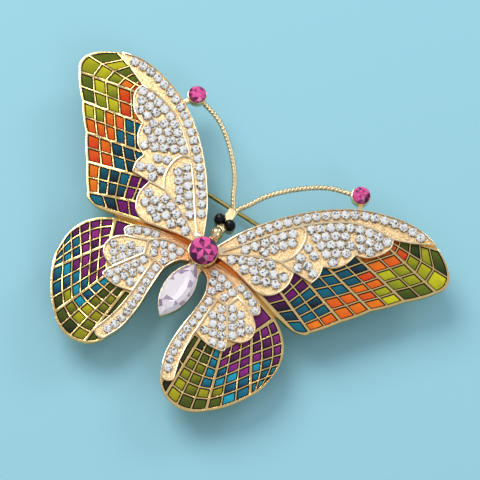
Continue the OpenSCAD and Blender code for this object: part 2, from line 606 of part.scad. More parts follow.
for (s = SIDES) {
    placed() upper_wing(s);
    placed() lower_wing(s);
    for (c = UPPER_COLOURS)
        placed() enamel(upper_patches, c, s, upper_z);
    for (c = LOWER_COLOURS)
        placed() enamel(lower_patches, c, s, lower_z);
    placed() upper_pave_panel(s);
    placed() lower_pave_panel(s);
    placed() set_stones(strip_places, s, upper_top, stone_d);
    placed() set_stones(lobe_places, s, upper_top, stone_d);
    placed() set_stones(petal_places, s, upper_top, stone_d);
    placed() set_stones(low_strip_places, s, lower_top, small_stone_d);
    placed() set_stones(low_lobe_places, s, lower_top, small_stone_d);
    placed() antenna(s);
    placed() antenna_cup(s);
    placed() antenna_stone(s);
}
placed() spine();
placed() thorax_drop();
placed() eye_stones();
placed() centre_cup();
placed() centre_stone();
placed() marquise_cup();
placed() marquise_stone();
placed() hinge_base();
placed() hinge_rivet();
placed() pin_stem();
placed() catch_ring();
placed() catch_sleeve();
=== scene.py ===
import math
import random

import bpy
from mathutils import Matrix, Vector


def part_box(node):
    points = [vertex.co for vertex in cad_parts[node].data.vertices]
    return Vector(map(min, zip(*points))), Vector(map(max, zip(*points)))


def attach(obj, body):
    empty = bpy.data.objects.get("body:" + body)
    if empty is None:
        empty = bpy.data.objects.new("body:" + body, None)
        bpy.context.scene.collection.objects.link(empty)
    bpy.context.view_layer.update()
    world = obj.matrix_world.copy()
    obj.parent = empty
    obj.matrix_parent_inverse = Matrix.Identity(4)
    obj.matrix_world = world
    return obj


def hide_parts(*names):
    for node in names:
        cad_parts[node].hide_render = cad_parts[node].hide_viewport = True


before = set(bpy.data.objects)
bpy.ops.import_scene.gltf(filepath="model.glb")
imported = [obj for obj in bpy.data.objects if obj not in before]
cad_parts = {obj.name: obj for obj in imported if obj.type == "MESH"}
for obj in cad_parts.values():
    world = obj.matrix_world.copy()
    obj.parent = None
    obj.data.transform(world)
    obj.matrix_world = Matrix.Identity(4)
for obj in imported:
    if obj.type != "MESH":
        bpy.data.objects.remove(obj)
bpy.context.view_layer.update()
MM = 0.001
bpy.ops.object.select_all(action="DESELECT")


# ---- Table, light and camera -------------------------------------------------------------------
# A plain pale blue card lies under the brooch. One large soft light stands high on the left of
# the camera, with weaker ones opposite and behind, under a ceiling that is brightest overhead.
def colour(r, g, b):
    """A colour given in the usual 0 to 255 steps, made linear."""
    steps = (r / 255, g / 255, b / 255)
    return tuple(c / 12.92 if c < 0.0404 else ((c + 0.055) / 1.055) ** 2.4 for c in steps) + (1,)


scene = bpy.context.scene
scene.view_settings.view_transform = "Standard"

bpy.ops.mesh.primitive_grid_add(x_subdivisions=60, y_subdivisions=60, size=3)
card = bpy.context.object
card.name = "card"
paper = bpy.data.materials.new("pale_blue_card")
paper.use_nodes = True
paper_shader = paper.node_tree.nodes["Principled BSDF"]
paper_shader.inputs["Base Color"].default_value = colour(146, 200, 216)
paper_shader.inputs["Roughness"].default_value = 0.75
card.data.materials.append(paper)


def soft_box(name, place, aim, size, watts, tint=(1, 1, 1)):
    light = bpy.data.lights.new(name, "AREA")
    light.shape = "DISK"
    light.size = size
    light.energy = watts
    light.color = tint
    stand = bpy.data.objects.new(name, light)
    scene.collection.objects.link(stand)
    stand.location = place
    stand.rotation_euler = (Vector(aim) - Vector(place)).to_track_quat("-Z", "Y").to_euler()


soft_box("key_light", (-0.47, 0.2, 0.54), (0, 0, 0), 0.5, 3.6, (1, 0.98, 0.95))
soft_box("fill_light", (0.45, -0.25, 0.45), (0, 0, 0), 0.25, 0.5, (0.93, 0.97, 1))
soft_box("back_light", (0.15, 0.55, 0.35), (0, 0, 0), 0.22, 0.8)

world = bpy.data.worlds.new("studio")
scene.world = world
world.use_nodes = True
sky = world.node_tree
backdrop = sky.nodes["Background"]
backdrop.inputs["Color"].default_value = (0.93, 0.97, 1, 1)
look = sky.nodes.new("ShaderNodeTexCoord")
parts = sky.nodes.new("ShaderNodeSeparateXYZ")
ceiling = sky.nodes.new("ShaderNodeMapRange")
ceiling.inputs["From Min"].default_value = 0.1
ceiling.inputs["From Max"].default_value = 0.95
ceiling.inputs["To Min"].default_value = 0.16
ceiling.inputs["To Max"].default_value = 0.72
sky.links.new(look.outputs["Generated"], parts.inputs["Vector"])
sky.links.new(parts.outputs["Z"], ceiling.inputs["Value"])
sky.links.new(ceiling.outputs["Result"], backdrop.inputs["Strength"])

camera_data = bpy.data.cameras.new("camera")
camera = bpy.data.objects.new("camera", camera_data)
scene.collection.objects.link(camera)
scene.camera = camera
camera_data.sensor_width = 36
camera_data.lens = 111.6
camera_data.clip_start = 0.01
camera.location = (0.041315, -0.083911, 0.275244)
camera.rotation_euler = (math.radians(19.566), math.radians(-3.681), math.radians(32.715))


# ---- Wing plates -------------------------------------------------------------------------------
# Four cast plates, gold plated and polished. The sunk cells leave thin walls and thick veins whose
# edges are rounded by polishing. The upper wings are soldered on top of the lower ones.
def reworked(node, name, merge=0.002 * MM):
    """A welded copy of a CAD node, with its flat faces made whole, that stands in for it."""
    piece = bpy.data.objects.new(name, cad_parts[node].data.copy())
    scene.collection.objects.link(piece)
    piece.data.materials.clear()
    bpy.ops.object.select_all(action="DESELECT")
    piece.select_set(True)
    bpy.context.view_layer.objects.active = piece
    bpy.ops.mesh.customdata_custom_splitnormals_clear()
    bpy.ops.object.mode_set(mode="EDIT")
    bpy.ops.mesh.select_all(action="SELECT")
    bpy.ops.mesh.remove_doubles(threshold=merge)
    bpy.ops.mesh.dissolve_limited(angle_limit=math.radians(0.3))
    bpy.ops.object.mode_set(mode="OBJECT")
    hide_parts(node)
    return piece


def rounded(piece, width, segments=2, angle=35, above=-1.0):
    """Polished edges: a bevel on every sharp corner that lies higher than the given level."""
    mesh = piece.data
    weight = mesh.attributes.new("bevel_weight_edge", "FLOAT", "EDGE")
    ways = {}
    for poly in mesh.polygons:
        for key in poly.edge_keys:
            ways.setdefault(key, []).append(poly.normal)
    limit = math.cos(math.radians(angle))
    for edge in mesh.edges:
        sides = ways.get(tuple(sorted(edge.vertices)), [])
        high = min(mesh.vertices[i].co.z for i in edge.vertices) > above
        sharp = high and len(sides) == 2 and sides[0].dot(sides[1]) < limit
        weight.data[edge.index].value = 1 if sharp else 0
    bevel = piece.modifiers.new("polished_edges", "BEVEL")
    bevel.width = width
    bevel.segments = segments
    bevel.limit_method = "WEIGHT"
    bpy.context.view_layer.objects.active = piece
    bpy.ops.object.modifier_apply(modifier=bevel.name)
    smoothed(piece, 40)


def smoothed(piece, angle):
    bpy.ops.object.select_all(action="DESELECT")
    piece.select_set(True)
    bpy.context.view_layer.objects.active = piece
    bpy.ops.object.shade_smooth_by_angle(angle=math.radians(angle))


def add(tree, kind, **values):
    """A shader node with its settings and socket values."""
    made = tree.nodes.new("ShaderNode" + kind)
    for key, value in values.items():
        if key[0].isupper():
            made.inputs[key.replace("_", " ")].default_value = value
        else:
            setattr(made, key, value)
    return made


PATCH_MM = 2.2
PIT_RANGE = (0.35, 0.62)
POLISHED_BAND_MM = (0.22, 0.14)
# Tints that multiply the colour below the polished level: darkest in the grain pits, and darker overall as
# painted shade in the sunk bed between the stones.
PIT_AND_SHADE_TINT = (0.60, 0.43, 0.27, 1)
GRAIN_AND_SHADE_TINT = (1, 0.95, 0.82, 1)
BED_DULLNESS = 0.22
COPPER = colour(236, 146, 78)
COPPER_WANDER_MM = 6


def gold_finish(name, base, deep, roughness, grain_mm, bump_mm, copper=0.0, reach_mm=(9, 19),
                polished_mm=None):
    """Plated gold: the base colour with faint patches of the deeper one and a fine casting grain,
    and a copper tone near the middle of the brooch. Where a polished level is given, the grain and
    its dark pits stay below it, and all below it is painted darker as shade in the sunk bed between the
    stones."""
    material = bpy.data.materials.new(name)
    material.use_nodes = True
    tree = material.node_tree
    shader = tree.nodes["Principled BSDF"]
    shader.inputs["Metallic"].default_value = 1
    place = add(tree, "TexCoord")
    patches = add(tree, "TexNoise", Scale=1 / (PATCH_MM * MM), Detail=3)
    grain = add(tree, "TexNoise", Scale=1 / (grain_mm * MM), Detail=2)
    tree.links.new(place.outputs["Object"], patches.inputs["Vector"])
    tree.links.new(place.outputs["Object"], grain.inputs["Vector"])
    pits = add(tree, "MapRange")
    pits.inputs["From Min"].default_value = PIT_RANGE[0]
    pits.inputs["From Max"].default_value = PIT_RANGE[1]
    tree.links.new(grain.outputs["Fac"], pits.inputs["Value"])
    rough_part = pits.outputs["Result"]
    if polished_mm:
        axes = add(tree, "SeparateXYZ")
        tree.links.new(place.outputs["Object"], axes.inputs["Vector"])
        sunk = add(tree, "MapRange")
        sunk.inputs["From Min"].default_value = (polished_mm - POLISHED_BAND_MM[0]) * MM
        sunk.inputs["From Max"].default_value = (polished_mm - POLISHED_BAND_MM[1]) * MM
        sunk.inputs["To Min"].default_value = 1
        sunk.inputs["To Max"].default_value = 0
        tree.links.new(axes.outputs["Z"], sunk.inputs["Value"])
        only = add(tree, "Math", operation="MULTIPLY")
        tree.links.new(sunk.outputs["Result"], only.inputs[0])
        tree.links.new(rough_part, only.inputs[1])
        rough_part = only.outputs["Value"]
    tone = add(tree, "Mix", data_type="RGBA")
    tone.inputs["A"].default_value = base
    tone.inputs["B"].default_value = deep
    tree.links.new(patches.outputs["Fac"], tone.inputs["Factor"])
    result = tone.outputs["Result"]
    if copper:
        reach = add(tree, "VectorMath", operation="LENGTH")
        tree.links.new(place.outputs["Object"], reach.inputs[0])
        wander = add(tree, "Math", operation="MULTIPLY_ADD")
        wander.inputs[1].default_value = COPPER_WANDER_MM * MM
        tree.links.new(patches.outputs["Fac"], wander.inputs[0])
        tree.links.new(reach.outputs["Value"], wander.inputs[2])
        near = add(tree, "MapRange")
        near.inputs["From Min"].default_value = (reach_mm[0] + COPPER_WANDER_MM / 2) * MM
        near.inputs["From Max"].default_value = (reach_mm[1] + COPPER_WANDER_MM / 2) * MM
        near.inputs["To Min"].default_value = copper
        near.inputs["To Max"].default_value = 0
        tree.links.new(wander.outputs["Value"], near.inputs["Value"])
        warm = add(tree, "Mix", data_type="RGBA")
        warm.inputs["B"].default_value = COPPER
        tree.links.new(near.outputs["Result"], warm.inputs["Factor"])
        tree.links.new(result, warm.inputs["A"])
        result = warm.outputs["Result"]
    shine = add(tree, "MapRange")
    shine.inputs["To Min"].default_value = roughness * 0.8
    shine.inputs["To Max"].default_value = roughness * 1.3
    tree.links.new(patches.outputs["Fac"], shine.inputs["Value"])
    dullness = shine.outputs["Result"]
    if polished_mm:
        # Below the polished level the colour is multiplied darker: grain pits, plus painted shade over all
        # the sunk bed.
        grain_and_shade = add(tree, "Mix", data_type="RGBA")
        grain_and_shade.inputs["A"].default_value = PIT_AND_SHADE_TINT
        grain_and_shade.inputs["B"].default_value = GRAIN_AND_SHADE_TINT
        tree.links.new(pits.outputs["Result"], grain_and_shade.inputs["Factor"])
        shaded = add(tree, "Mix", data_type="RGBA", blend_type="MULTIPLY")
        tree.links.new(grain_and_shade.outputs["Result"], shaded.inputs["B"])
        tree.links.new(sunk.outputs["Result"], shaded.inputs["Factor"])
        tree.links.new(result, shaded.inputs["A"])
        result = shaded.outputs["Result"]
        matt = add(tree, "Math", operation="MULTIPLY_ADD")
        matt.inputs[1].default_value = BED_DULLNESS
        tree.links.new(sunk.outputs["Result"], matt.inputs[0])
        tree.links.new(dullness, matt.inputs[2])
        dullness = matt.outputs["Value"]
    tree.links.new(result, shader.inputs["Base Color"])
    tree.links.new(dullness, shader.inputs["Roughness"])
    bump = add(tree, "Bump", Strength=1.0, Distance=bump_mm * MM)
    tree.links.new(rough_part, bump.inputs["Height"])
    tree.links.new(bump.outputs["Normal"], shader.inputs["Normal"])
    return material


RIM_POLISH = 0.1 * MM
wing_gold = gold_finish("wing_gold", colour(238, 208, 148), colour(216, 176, 108), 0.13, 0.3, 0.01,
                        copper=0.62, reach_mm=(9, 17))

for side in ("left", "right"):
    for level in ("upper", "lower"):
        wing = reworked(f"{level}_wing_{side}", f"{level}_plate_{side}")
        rounded(wing, RIM_POLISH, above=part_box(f"{level}_wing_{side}")[1].z - 0.01 * MM)
        wing.data.materials.append(wing_gold)
        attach(wing, "brooch")


# ---- Enamel ------------------------------------------------------------------------------------
# Glassy enamel fired into each cell. It climbs the walls in a thin meniscus, painted nearly black
# as the walls' shade, and is paler in the middle, where the metal shines through. No two cells are
# the same tone, and each is painted darker towards its lower right, as shade under light from the upper left.
CELL_EDGE = 0.17 * MM
CELL_DIP = 0.07 * MM
CELL_CLIMB = 0.09 * MM
# The direction in which each cell is painted darker, as shade under light from the upper left.
SHADE_SWEEP = Vector((0.5, -0.85, 0))
ENAMELS = {
    ("upper", "green"): (colour(112, 126, 16), colour(20, 44, 4)),
    ("upper", "yellow"): (colour(222, 214, 22), colour(112, 126, 6)),
    ("upper", "orange"): (colour(255, 134, 10), colour(226, 56, 4)),
    ("upper", "teal"): (colour(0, 112, 136), colour(0, 14, 34)),
    ("upper", "purple"): (colour(122, 8, 116), colour(18, 0, 26)),
    ("lower", "green"): (colour(88, 102, 10), colour(18, 32, 2)),
    ("lower", "yellow"): (colour(192, 184, 12), colour(84, 92, 4)),
    ("lower", "blue"): (colour(14, 172, 200), colour(0, 48, 84)),
    ("lower", "purple"): (colour(160, 40, 146), colour(44, 0, 56)),
}


def islands(mesh):
    """Lists of vertex numbers, one for each separate solid of the mesh."""
    root = list(range(len(mesh.vertices)))

    def find(i):
        while root[i] != i:
            root[i] = root[root[i]]
            i = root[i]
        return i

    for edge in mesh.edges:
        a, b = find(edge.vertices[0]), find(edge.vertices[1])
        root[a] = b
    groups = {}
    for i in range(len(root)):
        groups.setdefault(find(i), []).append(i)
    centre = lambda group: sum((mesh.vertices[i].co for i in group), Vector()) / len(group)
    return sorted(groups.values(), key=lambda g: tuple(round(c, 6) for c in centre(g)))


def enamel_finish(name, pale, deep):
    material = bpy.data.materials.new(name)
    material.use_nodes = True
    tree = material.node_tree
    shader = tree.nodes["Principled BSDF"]
    shader.inputs["Roughness"].default_value = 0.3
    shader.inputs["Specular IOR Level"].default_value = 0
    shader.inputs["Coat Weight"].default_value = 0.6
    shader.inputs["Coat Roughness"].default_value = 0.05
    clear_of_rim_shade = add(tree, "Attribute", attribute_name="clear_of_rim_shade")
    shade = add(tree, "Attribute", attribute_name="shade")
    place = add(tree, "TexCoord")
    cloud = add(tree, "TexNoise", Scale=1 / (1.6 * MM), Detail=2)
    tree.links.new(place.outputs["Object"], cloud.inputs["Vector"])
    cell = add(tree, "Mix", data_type="RGBA")
    cell.inputs["A"].default_value = pale
    cell.inputs["B"].default_value = deep
    tree.links.new(shade.outputs["Fac"], cell.inputs["Factor"])
    clouded = add(tree, "Mix", data_type="RGBA", blend_type="MULTIPLY")
    clouded.inputs["Factor"].default_value = 0.45
    tree.links.new(cell.outputs["Result"], clouded.inputs["A"])
    tree.links.new(cloud.outputs["Fac"], clouded.inputs["B"])
    # At the meniscus ring the colour is painted nearly black as the shade of the cell walls.
    rim_shaded = add(tree, "Mix", data_type="RGBA")
    rim_shaded.inputs["A"].default_value = tuple(c * 0.04 for c in deep[:3]) + (1,)
    tree.links.new(clouded.outputs["Result"], rim_shaded.inputs["B"])
    tree.links.new(clear_of_rim_shade.outputs["Fac"], rim_shaded.inputs["Factor"])
    tree.links.new(rim_shaded.outputs["Result"], shader.inputs["Base Color"])
    return material


toss = random.Random(4)
for (level, tint), (pale, deep) in ENAMELS.items():
    glaze = enamel_finish(f"{level}_{tint}_enamel", pale, deep)
    for side in ("left", "right"):
        cells = reworked(f"{level}_enamel_{tint}_{side}", f"{level}_{tint}_cells_{side}")
        mesh = cells.data
        for poly in mesh.polygons:
            poly.select = poly.normal.z > 0.9
        bpy.ops.object.mode_set(mode="EDIT")
        bpy.ops.mesh.select_mode(type="FACE")
        bpy.ops.mesh.inset(thickness=CELL_EDGE, depth=-CELL_DIP, use_individual=True)
        bpy.ops.mesh.inset(thickness=CELL_EDGE / 2, depth=0, use_individual=True)
        bpy.ops.object.mode_set(mode="OBJECT")
        # 1 on the middle faces, 0 on the meniscus ring that is painted as the walls' shade.
        clear_of_rim_shade = mesh.attributes.new("clear_of_rim_shade", "FLOAT", "POINT")
        for poly in mesh.polygons:
            if poly.select:
                for i in poly.vertices:
                    clear_of_rim_shade.data[i].value = 1
        brim = max(v.co.z for v in mesh.vertices)
        for vertex in mesh.vertices:
            if vertex.co.z > brim - 0.01 * MM:
                vertex.co.z += CELL_CLIMB
        # Each cell's random tone, plus painted shade that darkens it towards its lower right.
        shade = mesh.attributes.new("shade", "FLOAT", "POINT")
        for group in islands(mesh):
            tone = toss.random()
            middle = sum((mesh.vertices[i].co for i in group), Vector()) / len(group)
            half = max((mesh.vertices[i].co - middle).length for i in group)
            for i in group:
                painted_sweep = (mesh.vertices[i].co - middle).dot(SHADE_SWEEP) / half
                shade.data[i].value = 0.5 + 0.75 * (tone - 0.5) + 0.5 * painted_sweep
        smoothed(cells, 30)
        mesh.materials.append(glaze)
        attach(cells, "brooch")


# ---- Pave panels -------------------------------------------------------------------------------
# The raised panels are cast with their walls and drilled for the stones. The walls and outer edge
# are polished; the sunk bed keeps its grain, is painted darker as shade between the stones, and its plating
# turns coppery near the body.
PANEL_WELD = 0.03 * MM
WALL_POLISH = 0.11 * MM
for level, warmth, reach in (("upper", 0.4, (4, 12)), ("lower", 0.85, (5, 14))):
    wall_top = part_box(f"{level}_pave_panel_left")[1].z
    bed_gold = gold_finish(f"{level}_bed_gold", colour(254, 240, 214), colour(246, 220, 174), 0.13, 0.24,
                           0.04, copper=warmth, reach_mm=reach, polished_mm=wall_top / MM)
    for side in ("left", "right"):
        panel = reworked(f"{level}_pave_panel_{side}", f"{level}_panel_{side}", PANEL_WELD)
        rounded(panel, WALL_POLISH, 2, above=wall_top - 0.01 * MM)
        panel.data.materials.append(bed_gold)
        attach(panel, "brooch")


# ---- Clear stones ------------------------------------------------------------------------------
# Small round foil-backed crystals: octagonal table, star, kite and girdle facets over a mirrored
# back. Each drops into a drilled seat, and four little beads raised from the bed hold it. The table
# is cut in wedges, because the facets of the back show through it.
TABLE, STAR, KITE, GIRDLE = range(4)


def brilliant(name, girdle_r, crown_h, pavilion_h, table=0.56, star=0.87):
    """A round brilliant with its girdle at z = 0, cut by wrapping facets over rings of corners.
    Each facet keeps its kind in the attribute "cut"."""
    bpy.ops.object.select_all(action="DESELECT")
    bpy.ops.mesh.primitive_circle_add(vertices=16, radius=girdle_r)
    stone = bpy.context.object
    stone.name = name
    turn = math.pi / 8
    star_h = crown_h * (1 - star * math.cos(turn)) / (1 - table)
    bpy.ops.object.mode_set(mode="EDIT")
    bpy.ops.mesh.primitive_circle_add(vertices=8, radius=star * girdle_r, location=(0, 0, star_h * 1.01),
                                      rotation=(0, 0, turn))
    bpy.ops.mesh.primitive_circle_add(vertices=8, radius=table * girdle_r, location=(0, 0, crown_h))
    bpy.ops.mesh.primitive_circle_add(vertices=3, radius=0.001 * girdle_r, location=(0, 0, -pavilion_h))
    bpy.ops.mesh.select_all(action="SELECT")
    bpy.ops.mesh.remove_doubles(threshold=0.01 * girdle_r)
    bpy.ops.mesh.convex_hull()
    bpy.ops.mesh.select_all(action="SELECT")
    bpy.ops.mesh.dissolve_limited(angle_limit=math.radians(1.5))
    bpy.ops.mesh.select_all(action="SELECT")
    bpy.ops.mesh.normals_make_consistent(inside=False)
    bpy.ops.mesh.select_mode(type="FACE")
    bpy.ops.object.mode_set(mode="OBJECT")
    for poly in stone.data.polygons:
        poly.select = poly.normal.z > 0.99
    bpy.ops.object.mode_set(mode="EDIT")
    bpy.ops.mesh.poke()
    bpy.ops.object.mode_set(mode="OBJECT")
    cut = stone.data.attributes.new("cut", "INT", "FACE")
    for poly in stone.data.polygons:
        poly.material_index = 1 if poly.center.z < 0 else 0
        if poly.normal.z > 0.99:
            kind = TABLE
        elif poly.normal.z > 0.85:
            kind = STAR
        else:
            kind = KITE if len(poly.vertices) == 4 else GIRDLE
        cut.data[poly.index].value = kind
    return stone


def glass_finish(name, tint, dark, clearness):
    """Cut glass over foil: from facet to facet it throws back more or less of the light, painted into each
    facet's colour and clearness.
    """
    material = bpy.data.materials.new(name)
    material.use_nodes = True
    tree = material.node_tree
    shader = tree.nodes["Principled BSDF"]
    facet = add(tree, "Attribute", attribute_name="facet")
    tone = add(tree, "Mix", data_type="RGBA")
    tone.inputs["A"].default_value = dark
    tone.inputs["B"].default_value = tint
    tree.links.new(facet.outputs["Fac"], tone.inputs["Factor"])
    tree.links.new(tone.outputs["Result"], shader.inputs["Base Color"])
    depth = add(tree, "MapRange")
    depth.inputs["To Min"].default_value = clearness
    depth.inputs["To Max"].default_value = clearness * 0.3
    tree.links.new(facet.outputs["Fac"], depth.inputs["Value"])
    tree.links.new(depth.outputs["Result"], shader.inputs["Transmission Weight"])
    shader.inputs["IOR"].default_value = 1.56
    shader.inputs["Roughness"].default_value = 0.02
    return material


def foil_finish(name, tint, roughness=0.08):
    material = bpy.data.materials.new(name)
    material.use_nodes = True
    shader = material.node_tree.nodes["Principled BSDF"]
    shader.inputs["Base Color"].default_value = tint
    shader.inputs["Metallic"].default_value = 1
    shader.inputs["Roughness"].default_value = roughness
    return material


# Shares of facets painted bright, and ranges of the others painted dark, as the light and shade each facet
# throws back; the steep girdle facets are mostly painted dark as the shade of the seat.
CLEAR_LIT_SHARES = (0.78, 0.85, 0.8, 0.1)
CLEAR_SHADED_RANGES = ((0.15, 0.6), (0.1, 0.6), (0.1, 0.6), (0.04, 0.26))


def paint_facet_light(piece, chance, lit_shares=CLEAR_LIT_SHARES, shaded_ranges=CLEAR_SHADED_RANGES):
    """Paints light onto the facets: the table, star, kite and girdle facets each have their share of brightly
    lit ones among the shaded.
    """
    mesh = piece.data
    facet = mesh.attributes.new("facet", "FLOAT", "FACE")
    kinds = mesh.attributes.get("cut")
    for poly in mesh.polygons:
        kind = kinds.data[poly.index].value
        tone = chance.uniform(0.9, 1) if chance.random() < lit_shares[kind] else chance.uniform(*shaded_ranges[kind])
        facet.data[poly.index].value = tone


def joined(pieces, name):
    """Several copies made one piece."""
    bpy.ops.object.select_all(action="DESELECT")
    for piece in pieces:
        piece.select_set(True)
    bpy.context.view_layer.objects.active = pieces[0]
    bpy.ops.object.join()
    pieces[0].name = name
    return pieces[0]


def copied(pattern, move):
    twin = bpy.data.objects.new(pattern.name + "_copy", pattern.data.copy())
    twin.data.transform(move)
    scene.collection.objects.link(twin)
    return twin


clear_glass = glass_finish("clear_crystal_glass", (1, 1, 1, 1), (0.05, 0.05, 0.06, 1), 0.8)
silver_foil = foil_finish("silver_foil", (1, 1, 1, 1), 0.16)
crystal = brilliant("crystal_pattern", 1, 0.34, 0.5)
crystal.data.materials.append(clear_glass)
crystal.data.materials.append(silver_foil)

bpy.ops.object.select_all(action="DESELECT")
bpy.ops.mesh.primitive_ico_sphere_add(subdivisions=1, radius=1)
bead = bpy.context.object
bead.name = "bead_pattern"
bpy.ops.object.mode_set(mode="EDIT")
bpy.ops.mesh.select_all(action="SELECT")
bpy.ops.transform.resize(value=(1, 1, 0.8))
bpy.ops.object.mode_set(mode="OBJECT")
for poly in bead.data.polygons:
    poly.use_smooth = True
BEAD_R = 0.14 * MM
BEAD_GAP = 0.04 * MM
bead_gold = gold_finish("bead_gold", colour(254, 238, 202), colour(244, 214, 156), 0.2, 0.3, 0.003,
                        copper=0.6, reach_mm=(5, 13))

OVERSIZE = 1.03
CROWN_SHARE = 0.36
LEAN = 5
toss = random.Random(11)
for side in ("left", "right"):
    for field in ("upper_strip", "upper_lobe", "upper_petal", "lower_strip", "lower_lobe"):
        node = f"{field}_stones_{side}"
        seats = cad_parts[node].data.copy()
        holder = bpy.data.objects.new("seats", seats)
        scene.collection.objects.link(holder)
        bpy.ops.object.select_all(action="DESELECT")
        holder.select_set(True)
        bpy.context.view_layer.objects.active = holder
        bpy.ops.object.mode_set(mode="EDIT")
        bpy.ops.mesh.select_all(action="SELECT")
        bpy.ops.mesh.remove_doubles(threshold=0.002 * MM)
        bpy.ops.object.mode_set(mode="OBJECT")
        stones = []
        beads = []
        for group in islands(seats):
            points = [seats.vertices[i].co for i in group]
            low = Vector(min(p[k] for p in points) for k in range(3))
            high = Vector(max(p[k] for p in points) for k in range(3))
            middle = (low + high) / 2
            radius = (high.x - low.x) / 2
            tips = [Matrix.Rotation(math.radians(toss.uniform(-LEAN, LEAN)), 4, axis) for axis in "XY"]
            spin = Matrix.Rotation(toss.uniform(0, math.pi / 4), 4, "Z")
            girdle_z = high.z - CROWN_SHARE * radius
            seat = Matrix.Translation((middle.x, middle.y, girdle_z))
            turned = seat @ tips[0] @ tips[1] @ spin
            stones.append(copied(crystal, turned @ Matrix.Scale(radius * OVERSIZE, 4)))
            first = toss.uniform(0, math.pi / 2)
            for k in range(4):
                angle = first + k * math.pi / 2
                reach = radius + BEAD_GAP
                out = Vector((reach * math.cos(angle), reach * math.sin(angle), 0))
                foot = Matrix.Translation(Vector((middle.x, middle.y, girdle_z)) + out)
                beads.append(copied(bead, foot @ Matrix.Scale(BEAD_R, 4)))
        bpy.data.objects.remove(holder)
        set_stones = joined(stones, f"{field}_crystals_{side}")
        paint_facet_light(set_stones, toss)
        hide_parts(node)
        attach(set_stones, "brooch")
        prongs = joined(beads, f"{field}_beads_{side}")
        prongs.data.materials.append(bead_gold)
        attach(prongs, "brooch")
bpy.data.objects.remove(crystal)
bpy.data.objects.remove(bead)


# ---- Spine, neck and thorax --------------------------------------------------------------------
# The bar under the head joins the wings and ends in a short grainy neck; the thorax is a polished
# teardrop soldered on top of it.
body_gold = gold_finish("body_gold", colour(252, 234, 192), colour(236, 204, 142), 0.22, 0.25, 0.05,
                        copper=0.5, reach_mm=(3, 8))
drop_gold = gold_finish("drop_gold", colour(253, 234, 188), colour(246, 216, 158), 0.12, 0.4, 0.001)
spine = reworked("spine", "body_spine")
rounded(spine, 0.15 * MM, 3)
spine.data.materials.append(body_gold)
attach(spine, "brooch")
thorax = reworked("thorax_drop", "thorax")
smoothed(thorax, 50)
thorax.data.materials.append(drop_gold)
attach(thorax, "brooch")


# ---- Eyes --------------------------------------------------------------------------------------
# Two opaque black glass stones, cut in flat facets all over their domes.
EYE_OVERHANG = 0.05 * MM
black_glass = bpy.data.materials.new("black_glass")
black_glass.use_nodes = True
black_shader = black_glass.node_tree.nodes["Principled BSDF"]
black_shader.inputs["Base Color"].default_value = (0.003, 0.003, 0.004, 1)
black_shader.inputs["Roughness"].default_value = 0.12
black_shader.inputs["Specular IOR Level"].default_value = 0.3
low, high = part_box("eye_stones")
eye_r = (high.y - low.y) / 2 + EYE_OVERHANG
eyes = []
for x in (low.x + eye_r, high.x - eye_r):
    bpy.ops.object.select_all(action="DESELECT")
    bpy.ops.mesh.primitive_uv_sphere_add(segments=12, ring_count=8, radius=1)
    eye = bpy.context.object
    bpy.ops.object.mode_set(mode="EDIT")
    bpy.ops.mesh.select_all(action="SELECT")
    bpy.ops.mesh.bisect(plane_co=(0, 0, 0), plane_no=(0, 0, 1), clear_inner=True, use_fill=True)
    bpy.ops.object.mode_set(mode="OBJECT")
    foot = Matrix.Translation((x, (low.y + high.y) / 2, low.z))
    eye.data.transform(foot @ Matrix.Diagonal((eye_r, eye_r, high.z - low.z, 1)))
    eyes.append(eye)
head = joined(eyes, "eyes")
head.data.materials.append(black_glass)
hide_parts("eye_stones")
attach(head, "brooch")


# ---- Round pink stones in their cups -----------------------------------------------------------
# The large one sits at the centre, and one at the end of each antenna. Turned gold cups hold them;
# they are foil-backed like the clear ones, in hot pink.
cup_gold = gold_finish("cup_gold", colour(250, 228, 178), colour(236, 202, 140), 0.16, 0.4, 0.002)
pink_glass = glass_finish("pink_crystal_glass", colour(255, 96, 178), colour(92, 10, 104), 0.8)
pink_foil = foil_finish("pink_foil", colour(250, 130, 196), 0.12)
OVERHANG = 0.13 * MM
PINK_CROWN = 0.37
# For the pink stones: shares of facets painted bright, and ranges of those painted dark, as light and shade.
PINK_LIT_SHARES = (0.5, 0.55, 0.55, 0.4)
PINK_SHADED_RANGES = ((0.1, 0.7), (0, 0.5), (0, 0.5), (0, 0.4))
toss = random.Random(5)
for node in ("centre_stone", "antenna_stone_left", "antenna_stone_right"):
    cup_node = node.replace("stone", "cup")
    low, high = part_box(node)
    radius = (high.x - low.x) / 2 + OVERHANG
    gem = brilliant(node.replace("stone", "gem"), radius, 0.36 * radius, 0.5 * radius)
    place = Matrix.Translation(((low.x + high.x) / 2, (low.y + high.y) / 2, high.z - PINK_CROWN * radius))
    gem.data.transform(place @ Matrix.Rotation(toss.uniform(0, 0.7), 4, "Z"))
    gem.data.materials.append(pink_glass)
    gem.data.materials.append(pink_foil)
    paint_facet_light(gem, toss, PINK_LIT_SHARES, PINK_SHADED_RANGES)
    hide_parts(node)
    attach(gem, "brooch")
    cup = reworked(cup_node, cup_node.replace("cup", "setting"))
    rounded(cup, 0.06 * MM)
    cup.data.materials.append(cup_gold)
    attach(cup, "brooch")


# ---- Marquise ----------------------------------------------------------------------------------
# A long pointed stone of palest pink hangs from the centre cup between the lower wings, in a thin
# gold cup that follows its two arcs.
MARQUISE_OVERHANG = 0.1 * MM
low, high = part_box("marquise_stone")
half_w = (high.x - low.x) / 2 + MARQUISE_OVERHANG
half_l = (high.y - low.y) / 2 + MARQUISE_OVERHANG
setting = reworked("marquise_cup", "marquise_setting")
rounded(setting, 0.06 * MM)
setting.data.materials.append(cup_gold)
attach(setting, "brooch")
pale_glass = glass_finish("pale_pink_glass", colour(255, 248, 253), colour(184, 160, 196), 0.7)
pale_foil = foil_finish("pale_foil", colour(250, 232, 244), 0.2)


